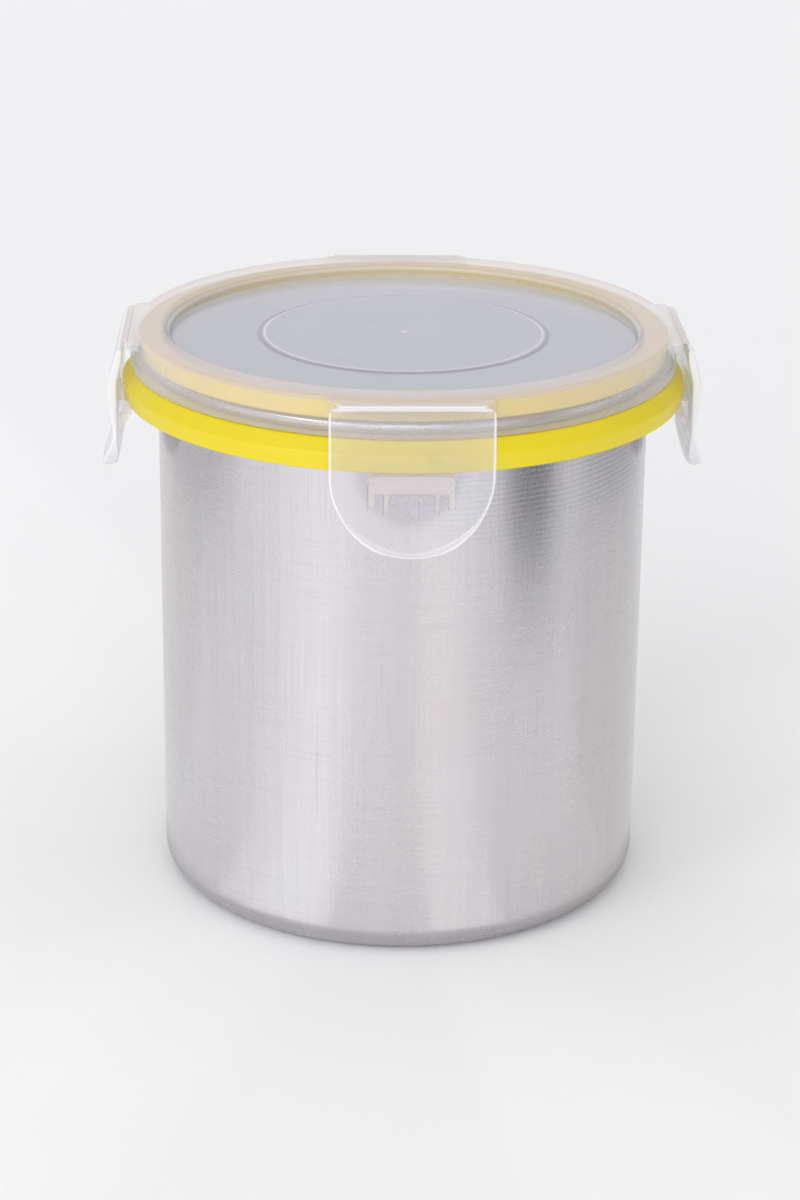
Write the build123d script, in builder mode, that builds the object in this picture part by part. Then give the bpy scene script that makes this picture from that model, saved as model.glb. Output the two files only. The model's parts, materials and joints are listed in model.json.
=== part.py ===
from build123d import *
import os
from math import cos, radians, sin

os.makedirs("parts", exist_ok=True)

# Food canister: deep-drawn steel body, plastic collar, soft gasket, and a clear lid
# with four hinged locking flaps. Millimetres, +Z up, origin on the table under the
# middle of the base.

# Steel body
body_radius = 55.0
body_height = 124.5
sheet = 0.5
foot_corner = 6.0
foot_band = 3.5
foot_step = 3.0
base_recess = 1.5
curl_radius = 1.6

# Collar under the rolled rim
collar_reach = 8.0
collar_height = 6.5
collar_wall = 1.4
collar_shoulder = 2.9
collar_shoulder_run = 2.3

# Gasket
gasket_height = 4.0
gasket_round = 0.5

# Lid
lid_wall = 1.4
skirt_inset = 2.6
lip_step = 0.6
lip_height = 2.3
crown_round = 1.3
plug_drop = 6.6
panel_drop = 2.9
panel_inset = 1.2
crown_edge_inset = 0.1
disc_radius = 30.9
disc_rise = 0.4
disc_slope = 1.7
gate_radius = 0.9
gate_depth = 0.25

# Locking flaps, their hinges and their hooks
flap_width = 34.4
flap_length = 31.5
flap_top_round = 1.6
flap_top_wall = 0.95
flap_bulge = 2.1
flap_waist = 0.8
flap_lip = 4.35
lip_overrun = 0.3
ear_drop = 0.6
ear_wall = 1.8
hinge_reach = 1.4
hinge_cut = 0.8
hinge_inner = 0.3
hinge_outer = 0.65
hinge_width = 30.0
hook_width = 15.6
hook_depth = 2.85
hook_height = 4.2
cheek_wall = 1.2
cheek_height = 7.6
gusset_wall = 0.9
gusset_height = 4.9
gusset_offset = 5.3

# Clearances
press_gap = 0.3
plug_gap = 0.5
slide_gap = 0.35
latch_gap = 0.3
hinge_gap = 0.15

# Places that follow from the sizes above
wall_inner = body_radius - sheet
curl_centre = wall_inner + curl_radius
collar_top = body_height - 2 * curl_radius
collar_bottom = collar_top - collar_height
collar_outer = body_radius + collar_reach
lid_bottom = collar_top + press_gap
gasket_bottom = body_height + press_gap
channel_top = gasket_bottom + gasket_height
crown_top = channel_top + lid_wall
skirt_outer = collar_outer - skirt_inset
skirt_inner = skirt_outer - lid_wall
plug_outer = wall_inner - plug_gap
plug_inner = plug_outer - lid_wall
panel_edge = plug_inner - panel_inset
panel_top = crown_top - panel_drop
panel_under = panel_top - lid_wall
disc_top = panel_top + disc_rise
ear_top = crown_top - ear_drop
hinge_radius = skirt_outer + hinge_reach
hinge_height = ear_top - hinge_outer
flap_top = hinge_height - hinge_gap
flap_tip = flap_top - flap_length
flap_back = collar_outer + slide_gap
ledge_height = collar_bottom - latch_gap
flap_half = flap_width / 2

SIDES = {"front": -90, "right": 0, "back": 90, "left": 180}


def radial_plane(angle):
    """Upright plane through the middle: local x points outward, local y points up."""
    turn = radians(angle)
    return Plane(
        origin=(0, 0, 0),
        x_dir=(cos(turn), sin(turn), 0),
        z_dir=(sin(turn), -cos(turn), 0),
    )


def facing_plane(angle, distance):
    """Upright plane that faces outward at a distance from the middle."""
    turn = radians(angle)
    return Plane(
        origin=(distance * cos(turn), distance * sin(turn), 0),
        x_dir=(-sin(turn), cos(turn), 0),
        z_dir=(cos(turn), sin(turn), 0),
    )


def finish(part, name):
    """Label a sub-part and write its STEP file."""
    part.label = name
    export_step(part, f"parts/{name}.step")


# Steel body: one deep-drawn cup. The wall turns into a recessed base inside a standing
# ring, and the rim is rolled outward into a hollow curl.
foot_outer = body_radius - foot_corner
foot_inner = foot_outer - foot_band
recess_edge = foot_inner - foot_step

with BuildPart() as steel_body:
    with BuildSketch(Plane.XZ):
        with BuildLine():
            FilletPolyline(
                (0, base_recess),
                (recess_edge, base_recess),
                (foot_inner, 0),
                (foot_outer, 0),
                radius=1.0,
            )
            RadiusArc((foot_outer, 0), (body_radius, foot_corner), -foot_corner)
            Line((body_radius, foot_corner), (body_radius, body_height - curl_radius))
            ThreePointArc(
                (body_radius, body_height - curl_radius),
                (
                    curl_centre + (curl_radius - sheet) * cos(radians(45)),
                    body_height - curl_radius + (curl_radius - sheet) * sin(radians(45)),
                ),
                (curl_centre, collar_top + sheet),
            )
            Line((curl_centre, collar_top + sheet), (curl_centre, collar_top))
            ThreePointArc(
                (curl_centre, collar_top),
                (
                    curl_centre + curl_radius * cos(radians(45)),
                    body_height - curl_radius + curl_radius * sin(radians(45)),
                ),
                (wall_inner, body_height - curl_radius),
            )
            Line((wall_inner, body_height - curl_radius), (wall_inner, foot_corner))
            RadiusArc((wall_inner, foot_corner), (foot_outer, sheet), foot_corner - sheet)
            FilletPolyline(
                (foot_outer, sheet),
                (foot_inner + 0.2 * sheet, sheet),
                (recess_edge + 0.2 * sheet, base_recess + sheet),
                (0, base_recess + sheet),
                radius=1.0,
            )
            Line((0, base_recess + sheet), (0, base_recess))
        make_face()
    revolve(axis=Axis.Z)
finish(steel_body.part, "steel_body")


# Collar: a plastic ring with an inner sleeve on the steel wall, a sloping top and an
# outer skirt that is open below, so the hooks can catch the skirt's lower edge.
shoulder_height = collar_top - collar_shoulder
shoulder_radius = collar_outer - collar_shoulder_run
collar_under = collar_top - collar_wall

with BuildPart() as collar_ring:
    with BuildSketch(Plane.XZ):
        with BuildLine():
            FilletPolyline(
                (body_radius, collar_bottom),
                (body_radius, collar_top),
                (shoulder_radius, collar_top),
                (collar_outer, shoulder_height),
                (collar_outer - 0.4, collar_bottom),
                (collar_outer - collar_wall - 0.4, collar_bottom),
                (collar_outer - collar_wall, shoulder_height - 0.5),
                (shoulder_radius - 0.6, collar_under),
                (body_radius + collar_wall, collar_under),
                (body_radius + collar_wall, collar_bottom),
                radius=[0, 0, 0.8, 0.7, 0.3, 0.3, 0.4, 0.4, 0.4, 0.3],
                close=True,
            )
        make_face()
    revolve(axis=Axis.Z)
finish(collar_ring.part, "collar_ring")


# The ears run in to where the skirt's inside meets their ends, and stop short of the
# hinge line.
ear_root = (skirt_inner**2 - flap_half**2) ** 0.5
ear_end = hinge_radius - hinge_cut

# Lid: a sunken panel with a raised disc, a crown over the rim, a plug wall inside the
# rim, an outer skirt with a stepped lip, and four straight-edged ears for the flaps.
with BuildPart() as lid:
    with BuildSketch(Plane.XZ):
        with BuildLine():
            FilletPolyline(
                (0, disc_top - gate_depth),
                (gate_radius, disc_top - gate_depth),
                (gate_radius, disc_top),
                (disc_radius, disc_top),
                (disc_radius + disc_slope, panel_top),
                (panel_edge, panel_top),
                (plug_outer - crown_edge_inset, crown_top),
                (skirt_outer, crown_top),
                (skirt_outer, lid_bottom + lip_height + lip_step / 2),
                (skirt_outer + lip_step, lid_bottom + lip_height),
                (skirt_outer + lip_step, lid_bottom),
                (skirt_inner + lip_step, lid_bottom),
                (skirt_inner + lip_step, lid_bottom + lip_height),
                (skirt_inner, lid_bottom + lip_height + lip_step / 2),
                (skirt_inner, channel_top),
                (plug_outer, channel_top),
                (plug_outer, channel_top - plug_drop),
                (plug_inner, channel_top - plug_drop),
                (plug_inner, panel_under),
                (0, panel_under),
                radius=[
                    0, 0.1, 0.1, 0.6, 0.6, 0.8, 1.0, crown_round, 0.2, 0.2, 0.3, 0.3,
                    0.2, 0.2, 0.4, 0.4, 0.4, 0.4, 0.6, 0,
                ],
                close=True,
            )
        make_face()
    revolve(axis=Axis.Z)
    with BuildSketch(Plane.XY.offset(ear_top - ear_wall)):
        with PolarLocations((ear_root + ear_end) / 2, len(SIDES)):
            Rectangle(ear_end - ear_root, flap_width)
        Circle(skirt_inner + lid_wall / 2, mode=Mode.SUBTRACT)
    extrude(amount=ear_wall)
finish(lid.part, "lid")


# Gasket: a soft ring that fills the lid's channel and faces the rolled rim.
with BuildPart() as gasket:
    with BuildSketch(Plane.XZ):
        with Locations(((plug_outer + skirt_inner) / 2, (gasket_bottom + channel_top) / 2)):
            RectangleRounded(skirt_inner - plug_outer, gasket_height, gasket_round)
    revolve(axis=Axis.Z)
finish(gasket.part, "gasket")


def add_flap_profile():
    """Side profile of a flap: bulged over the collar, waisted, with an outward lip."""
    FilletPolyline(
        (hinge_radius + 0.2, flap_top),
        (hinge_radius + 0.2 + flap_top_wall, flap_top),
        (flap_back + flap_bulge, collar_top - 1.5),
        (flap_back + flap_waist, ledge_height - 6.5),
        (flap_back + flap_lip, flap_tip + 1.7),
        (flap_back + flap_lip - 1.0, flap_tip - lip_overrun),
        (flap_back + 1.7, flap_tip - lip_overrun),
        (flap_back + 0.8, flap_tip + 1.4),
        (flap_back, flap_tip + 5.2),
        (flap_back, collar_top - 0.8),
        (hinge_radius + 0.3, collar_top + 4.2),
        radius=[0, 0, 8.0, 10.0, 0.9, 0.8, 0.8, 1.2, 4.0, 4.0, 3.0],
        close=True,
    )


for side, angle in SIDES.items():
    # Flap: a D-shaped plate that hangs from the lid's ear and covers the collar.
    with BuildPart() as flap:
        with BuildSketch(radial_plane(angle)):
            with BuildLine():
                add_flap_profile()
            make_face()
        extrude(amount=flap_half + 1, both=True)
        with BuildSketch(facing_plane(angle, hinge_radius - 1)):
            with Locations((0, (flap_top + flap_tip + flap_half) / 2)):
                top_part = Rectangle(flap_width, flap_top - flap_tip - flap_half)
            fillet(top_part.vertices().group_by(Axis.Z)[-1], flap_top_round)
            with Locations((0, flap_tip + flap_half)):
                Circle(flap_half)
        extrude(amount=12, mode=Mode.INTERSECT)
    finish(flap.part, f"flap_{side}")

    # Latch hook: the ledge inside the flap that catches the collar, with a cheek at
    # each end and two small gussets below.
    with BuildPart() as latch_hook:
        with BuildSketch(radial_plane(angle)):
            with BuildLine():
                FilletPolyline(
                    (flap_back, ledge_height),
                    (flap_back - hook_depth, ledge_height),
                    (flap_back - hook_depth + 0.1, ledge_height - 0.45 * hook_height),
                    (flap_back - 0.5 * hook_depth, ledge_height - hook_height),
                    (flap_back, ledge_height - hook_height),
                    radius=[0, 0.3, 0.6, 0.4, 0],
                    close=True,
                )
            make_face()
        extrude(amount=hook_width / 2, both=True)
        for edge in (-1, 1):
            with BuildSketch(radial_plane(angle).offset(edge * (hook_width + cheek_wall) / 2)):
                with BuildLine():
                    Polyline(
                        (flap_back, ledge_height - 0.2),
                        (flap_back - hook_depth + 0.3, ledge_height - 0.2),
                        (flap_back - hook_depth + 0.2, ledge_height - 0.4 * cheek_height),
                        (flap_back, ledge_height - cheek_height),
                        close=True,
                    )
                make_face()
            extrude(amount=cheek_wall / 2, both=True)
            with BuildSketch(radial_plane(angle).offset(edge * gusset_offset)):
                with BuildLine():
                    Polyline(
                        (flap_back, ledge_height - hook_height + 0.2),
                        (flap_back - 0.5 * hook_depth, ledge_height - hook_height + 0.2),
                        (flap_back, ledge_height - hook_height - gusset_height),
                        close=True,
                    )
                make_face()
            extrude(amount=gusset_wall / 2, both=True)
    finish(latch_hook.part, f"latch_hook_{side}")

    # Hinge web: the thin strip that bends between the ear and the flap.
    with BuildPart() as hinge_web:
        with BuildSketch(radial_plane(angle)):
            with BuildLine():
                Line(
                    (ear_end, hinge_height + hinge_inner),
                    (hinge_radius, hinge_height + hinge_inner),
                )
                ThreePointArc(
                    (hinge_radius, hinge_height + hinge_inner),
                    (
                        hinge_radius + hinge_inner * cos(radians(45)),
                        hinge_height + hinge_inner * sin(radians(45)),
                    ),
                    (hinge_radius + hinge_inner, hinge_height),
                )
                Line((hinge_radius + hinge_inner, hinge_height), (hinge_radius + hinge_inner, flap_top))
                Line((hinge_radius + hinge_inner, flap_top), (hinge_radius + hinge_outer, flap_top))
                Line((hinge_radius + hinge_outer, flap_top), (hinge_radius + hinge_outer, hinge_height))
                ThreePointArc(
                    (hinge_radius + hinge_outer, hinge_height),
                    (
                        hinge_radius + hinge_outer * cos(radians(45)),
                        hinge_height + hinge_outer * sin(radians(45)),
                    ),
                    (hinge_radius, hinge_height + hinge_outer),
                )
                Line(
                    (hinge_radius, hinge_height + hinge_outer),
                    (ear_end, hinge_height + hinge_outer),
                )
                Line(
                    (ear_end, hinge_height + hinge_outer),
                    (ear_end, hinge_height + hinge_inner),
                )
            make_face()
        extrude(amount=hinge_width / 2, both=True)
    finish(hinge_web.part, f"hinge_web_{side}")
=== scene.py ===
"""Looks of a food canister: steel body, yellow collar and a clear lid with four flaps."""

import json
import logging
import math
from collections.abc import Sequence
from dataclasses import dataclass
from enum import Enum

import bmesh
import bpy
from mathutils import Matrix, Vector

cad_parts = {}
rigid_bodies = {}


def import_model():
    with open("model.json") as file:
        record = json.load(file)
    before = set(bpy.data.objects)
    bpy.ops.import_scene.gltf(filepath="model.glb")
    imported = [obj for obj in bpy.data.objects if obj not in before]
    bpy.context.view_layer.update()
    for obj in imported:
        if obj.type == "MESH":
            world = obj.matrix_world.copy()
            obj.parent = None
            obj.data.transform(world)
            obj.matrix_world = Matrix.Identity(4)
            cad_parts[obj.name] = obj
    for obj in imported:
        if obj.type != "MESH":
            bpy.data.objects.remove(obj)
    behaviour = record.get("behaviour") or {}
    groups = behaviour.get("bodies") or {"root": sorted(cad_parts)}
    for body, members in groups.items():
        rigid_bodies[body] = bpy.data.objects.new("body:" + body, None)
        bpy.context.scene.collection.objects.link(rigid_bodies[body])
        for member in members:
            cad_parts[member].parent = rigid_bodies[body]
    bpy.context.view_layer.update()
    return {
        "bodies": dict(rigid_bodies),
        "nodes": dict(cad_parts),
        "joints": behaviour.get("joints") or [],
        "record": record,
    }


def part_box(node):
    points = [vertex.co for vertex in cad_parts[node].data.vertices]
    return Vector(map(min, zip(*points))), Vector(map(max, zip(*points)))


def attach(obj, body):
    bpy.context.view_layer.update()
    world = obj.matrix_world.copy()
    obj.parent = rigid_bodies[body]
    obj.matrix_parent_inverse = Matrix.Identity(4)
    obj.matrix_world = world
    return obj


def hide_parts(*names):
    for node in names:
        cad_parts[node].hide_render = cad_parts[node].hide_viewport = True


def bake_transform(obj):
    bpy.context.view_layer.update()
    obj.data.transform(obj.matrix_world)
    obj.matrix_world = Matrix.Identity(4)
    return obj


LOG = logging.getLogger("food_canister")
MM = 0.001
YELLOW_REACH = (1.0, 0.7, 0.1)
Point = tuple[float, float]
Colour = tuple[float, ...]


class Side(Enum):
    """The four places of a locking flap, with the turn of each about the upright axis."""

    FRONT = ("front", -90.0)
    RIGHT = ("right", 0.0)
    BACK = ("back", 90.0)
    LEFT = ("left", 180.0)

    @property
    def label(self) -> str:
        """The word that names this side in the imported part."""
        return self.value[0]

    @property
    def turn(self) -> Matrix:
        """Rotation that carries a piece built on the right to this side."""
        return Matrix.Rotation(math.radians(self.value[1]), 4, "Z")


@dataclass(frozen=True)
class Sizes:
    """Sizes and levels that the sub-assemblies share, in millimetres."""

    rim_top: float
    collar_bottom: float
    collar_top: float
    lid_bottom: float
    gasket_bottom: float
    channel_top: float
    crown_top: float
    flap_top: float
    flap_tip: float
    hinge_radius: float
    hinge_height: float
    wall_radius: float = 55.0
    sheet: float = 0.5
    curl_radius: float = 1.6
    collar_reach: float = 8.0
    lid_wall: float = 1.4
    skirt_inset: float = 2.6
    plug_gap: float = 0.5
    slide_gap: float = 0.35
    latch_gap: float = 0.3
    flap_width: float = 34.4

    @classmethod
    def from_part(cls, record: dict) -> "Sizes":
        """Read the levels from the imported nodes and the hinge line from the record.

        Args:
            record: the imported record, with its joints.

        Returns:
            The shared sizes.
        """
        steel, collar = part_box("steel_body"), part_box("collar_ring")
        lid, gasket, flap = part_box("lid"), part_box("gasket"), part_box("flap_right")
        joints = {joint["name"]: joint for joint in record["behaviour"]["joints"]}
        hinge = joints["flap_right_swing"]["pos_m"]
        return cls(
            rim_top=steel[1][2] / MM,
            collar_bottom=collar[0][2] / MM,
            collar_top=collar[1][2] / MM,
            lid_bottom=lid[0][2] / MM,
            gasket_bottom=gasket[0][2] / MM,
            channel_top=gasket[1][2] / MM,
            crown_top=lid[1][2] / MM,
            flap_top=flap[1][2] / MM,
            flap_tip=flap[0][2] / MM,
            hinge_radius=hinge[0] / MM,
            hinge_height=hinge[2] / MM,
        )

    @property
    def collar_outer(self) -> float:
        """Outside radius of the collar."""
        return self.wall_radius + self.collar_reach

    @property
    def skirt_outer(self) -> float:
        """Outside radius of the lid's skirt."""
        return self.collar_outer - self.skirt_inset

    @property
    def skirt_inner(self) -> float:
        """Inside radius of the lid's skirt."""
        return self.skirt_outer - self.lid_wall

    @property
    def plug_outer(self) -> float:
        """Outside radius of the lid's plug wall."""
        return self.wall_radius - self.sheet - self.plug_gap

    @property
    def flap_back(self) -> float:
        """Distance of a flap's flat inner face from the axis."""
        return self.collar_outer + self.slide_gap

    @property
    def ledge_height(self) -> float:
        """Height of the hooks' ledges, just under the collar."""
        return self.collar_bottom - self.latch_gap


def corner(before: Vector, at: Vector, after: Vector, radius: float, steps: int) -> list[Point]:
    """Points along the round of one corner.

    Args:
        before: the point before the corner.
        at: the corner.
        after: the point after it.
        radius: radius of the round, or 0 for a sharp corner.
        steps: number of chords along the round.

    Returns:
        The corner alone, or the points of its round.
    """
    first, second = (before - at).normalized(), (after - at).normalized()
    half = first.angle(second) / 2
    if radius <= 0 or half > math.radians(89):
        return [tuple(at)]
    middle = at + (first + second).normalized() * radius / math.sin(half)
    start = at + first * radius / math.tan(half) - middle
    end = at + second * radius / math.tan(half) - middle
    sweep = start.angle_signed(end)
    return [
        tuple(middle + Matrix.Rotation(-sweep * step / steps, 2) @ start)
        for step in range(steps + 1)
    ]


def rounded(
    points: Sequence[Point], radii: Sequence[float], steps: int = 6, closed: bool = True
) -> list[Point]:
    """An outline with its corners rounded.

    Args:
        points: the outline's corners, in order.
        radii: the radius of each corner's round.
        steps: number of chords along each round.
        closed: whether the last point joins the first.

    Returns:
        The points of the rounded outline.
    """
    places = [Vector(point) for point in points]
    outline: list[Point] = []
    for index, place in enumerate(places):
        at_end = index in (0, len(places) - 1) and not closed
        radius = 0.0 if at_end else radii[index]
        before, after = places[index - 1], places[(index + 1) % len(places)]
        outline += corner(before, place, after, radius, steps)
    return outline


def arc(middle: Point, radius: float, start: float, end: float, steps: int) -> list[Point]:
    """Points along an arc, from one angle to another in degrees."""
    angles = [math.radians(start + (end - start) * step / steps) for step in range(steps + 1)]
    return [
        (middle[0] + radius * math.cos(angle), middle[1] + radius * math.sin(angle))
        for angle in angles
    ]


class Workshop:
    """Makes closed meshes and turns them into objects of the scene."""

    sharp: float = math.radians(38.0)

    @staticmethod
    def finish(name: str, body: bmesh.types.BMesh) -> bpy.types.Object:
        """Turn a mesh in millimetres into a shaded object in metres.

        Args:
            name: name of the object.
            body: the mesh, which is freed.

        Returns:
            The new object, linked to the scene.
        """
        bmesh.ops.scale(body, vec=(MM, MM, MM), verts=body.verts)
        bmesh.ops.recalc_face_normals(body, faces=body.faces)
        mesh = bpy.data.meshes.new(name)
        body.to_mesh(mesh)
        body.free()
        piece = bpy.data.objects.new(name, mesh)
        bpy.context.scene.collection.objects.link(piece)
        Workshop.shade(piece)
        return piece

    @staticmethod
    def shade(piece: bpy.types.Object) -> None:
        """Smooth the shading, and leave the keener edges sharp."""
        mesh = piece.data
        mesh.polygons.foreach_set("use_smooth", [True] * len(mesh.polygons))
        mesh.set_sharp_from_angle(angle=Workshop.sharp)
        if "even_shading" not in piece.modifiers:
            even = piece.modifiers.new("even_shading", "WEIGHTED_NORMAL")
            even.keep_sharp = True

    @staticmethod
    def lathe(name: str, outline: Sequence[Point], around: int = 288) -> bpy.types.Object:
        """A closed body of revolution about the upright axis.

        Args:
            name: name of the object.
            outline: closed outline as radius and height; points on the axis end it.
            around: number of steps round the axis.

        Returns:
            The turned object.
        """
        body = bmesh.new()
        rings: list[list[bmesh.types.BMVert]] = []
        for radius, height in outline:
            if radius < 1e-6:
                rings.append([body.verts.new((0, 0, height))])
                continue
            turns = [math.tau * step / around for step in range(around)]
            circle = [(radius * math.cos(turn), radius * math.sin(turn)) for turn in turns]
            rings.append([body.verts.new((x, y, height)) for x, y in circle])
        for lower, upper in zip(rings, rings[1:] + rings[:1]):
            if len(lower) == 1 and len(upper) == 1:
                continue
            for step in range(around):
                after = (step + 1) % around
                loop = [lower[step % len(lower)], lower[after % len(lower)]]
                loop += [upper[after % len(upper)], upper[step % len(upper)]]
                body.faces.new(dict.fromkeys(loop))
        return Workshop.finish(name, body)

    @staticmethod
    def prism(
        outline: Sequence[Point], low: float, high: float, flat: bool, bevel: float = 0.0
    ) -> bmesh.types.BMesh:
        """A straight-sided body with an outline for its section.

        Args:
            outline: closed outline, as x and z, or as x and y for a flat body.
            low: lower end along the third direction.
            high: upper end along the third direction.
            flat: whether the body lies flat, with z as its third direction.
            bevel: width of the small round on every edge.

        Returns:
            The closed mesh, in millimetres.
        """
        body = bmesh.new()
        ends = []
        for level in (low, high):
            places = [(u, v, level) if flat else (u, level, v) for u, v in outline]
            ends.append([body.verts.new(place) for place in places])
        count = len(outline)
        for step in range(count):
            after = (step + 1) % count
            body.faces.new((ends[0][step], ends[0][after], ends[1][after], ends[1][step]))
        body.faces.new(ends[0][::-1])
        body.faces.new(ends[1])
        bmesh.ops.recalc_face_normals(body, faces=body.faces)
        if bevel > 0:
            keen = [edge for edge in body.edges if edge.calc_face_angle(0) > math.radians(30)]
            bmesh.ops.bevel(
                body,
                geom=keen,
                offset=bevel,
                segments=3,
                profile=0.5,
                affect="EDGES",
                clamp_overlap=True,
            )
        return body

    @staticmethod
    def weld(base: bpy.types.Object, others: Sequence[bpy.types.Object]) -> None:
        """Unite closed bodies into the first one and remove the others.

        Args:
            base: the body that stays.
            others: the bodies that become part of it.
        """
        for other in others:
            union = base.modifiers.new("weld", "BOOLEAN")
            union.operation = "UNION"
            union.solver = "EXACT"
            union.object = other
        for modifier in [m for m in base.modifiers if m.type == "WEIGHTED_NORMAL"]:
            base.modifiers.remove(modifier)
        graph = bpy.context.evaluated_depsgraph_get()
        welded = bpy.data.meshes.new_from_object(base.evaluated_get(graph))
        base.modifiers.clear()
        old, base.data = base.data, welded
        bpy.data.meshes.remove(old)
        for other in others:
            bpy.data.meshes.remove(other.data)
        Workshop.shade(base)


class Value:
    """A number that varies over a surface, for sums written as plain arithmetic."""

    def __init__(self, sheet: "NodeSheet", socket: bpy.types.NodeSocket) -> None:
        """Hold the socket that gives the number."""
        self.sheet, self.socket = sheet, socket

    def __add__(self, other: "Value | float") -> "Value":
        """This and another."""
        return self.sheet.math("ADD", self, other)

    def __sub__(self, other: "Value | float") -> "Value":
        """This less another."""
        return self.sheet.math("SUBTRACT", self, other)

    def __rsub__(self, other: float) -> "Value":
        """A number less this."""
        return self.sheet.math("SUBTRACT", other, self)

    def __mul__(self, other: "Value | float") -> "Value":
        """This times another."""
        return self.sheet.math("MULTIPLY", self, other)

    def __abs__(self) -> "Value":
        """This without its sign."""
        return self.sheet.math("ABSOLUTE", self)

    def between(self, low: float, high: float, start: float = 0.0, end: float = 1.0) -> "Value":
        """This carried from one range to another, with soft ends."""
        node = self.sheet.add("ShaderNodeMapRange", interpolation_type="SMOOTHSTEP")
        return self.sheet.read(self.sheet.feed(node, i0=self, i1=low, i2=high, i3=start, i4=end))


class NodeSheet:
    """Adds nodes to one node tree and joins them."""

    def __init__(self, tree: bpy.types.NodeTree) -> None:
        """Start on a tree."""
        self.tree = tree
        self.column = 0

    def add(self, kind: str, **settings: object) -> bpy.types.Node:
        """Add a node and set its properties."""
        node = self.tree.nodes.new(kind)
        node.location = (self.column * 180, -60 * (self.column % 5))
        self.column += 1
        for key, value in settings.items():
            setattr(node, key, value)
        return node

    def feed(self, node: bpy.types.Node, **values: object) -> bpy.types.Node:
        """Set or link the inputs of a node, named with underscores for spaces.

        Args:
            node: the node.
            values: a plain value or a varying one for each input; i0 is the first input.

        Returns:
            The same node.
        """
        for key, value in values.items():
            place = int(key[1:]) if key[0] == "i" and key[1:].isdigit() else key.replace("_", " ")
            if isinstance(value, Value):
                self.tree.links.new(value.socket, node.inputs[place])
            else:
                node.inputs[place].default_value = value
        return node

    def read(self, node: bpy.types.Node, output: int | str = 0) -> Value:
        """One output of a node."""
        return Value(self, node.outputs[output])

    def math(self, operation: str, first: object, second: object = 0.0) -> Value:
        """Result of a sum on two values."""
        node = self.add("ShaderNodeMath", operation=operation)
        return self.read(self.feed(node, i0=first, i1=second))

    def largest(self, first: Value, second: Value | float) -> Value:
        """The larger of two values."""
        return self.math("MAXIMUM", first, second)

    def smallest(self, first: Value, second: Value | float) -> Value:
        """The smaller of two values."""
        return self.math("MINIMUM", first, second)

    def length(self, first: Value, second: Value) -> Value:
        """Length of the long side of a right triangle."""
        return self.math("SQRT", self.math("POWER", first, 2) + self.math("POWER", second, 2))

    def mix(self, share: object, first: object, second: object) -> Value:
        """A colour between two colours."""
        node = self.add("ShaderNodeMix", data_type="RGBA")
        return self.read(self.feed(node, i0=share, i6=first, i7=second), 2)

    def noise(
        self, vector: Value, scale: object, detail: float = 2.0, rough: float = 0.5
    ) -> Value:
        """Value of a noise."""
        node = self.add("ShaderNodeTexNoise")
        return self.read(
            self.feed(node, Vector=vector, Scale=scale, Detail=detail, Roughness=rough)
        )

    def join(self, x: object = 0.0, y: object = 0.0, z: object = 0.0) -> Value:
        """A vector from three values."""
        return self.read(self.feed(self.add("ShaderNodeCombineXYZ"), X=x, Y=y, Z=z))

    def place(self) -> tuple[Value, ...]:
        """A point of the surface, and its x, y and z, in metres."""
        point = self.read(self.add("ShaderNodeTexCoord"), "Object")
        parts = self.feed(self.add("ShaderNodeSeparateXYZ"), Vector=point)
        return (point, *(self.read(parts, axis) for axis in range(3)))

    def wrap(self) -> tuple[Value, ...]:
        """Arc length round the axis, height and radius of a point of the surface."""
        _, x, y, z = self.place()
        return self.math("ARCTAN2", y, x) * (Sizes.wall_radius * MM), z, self.length(x, y)


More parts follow.
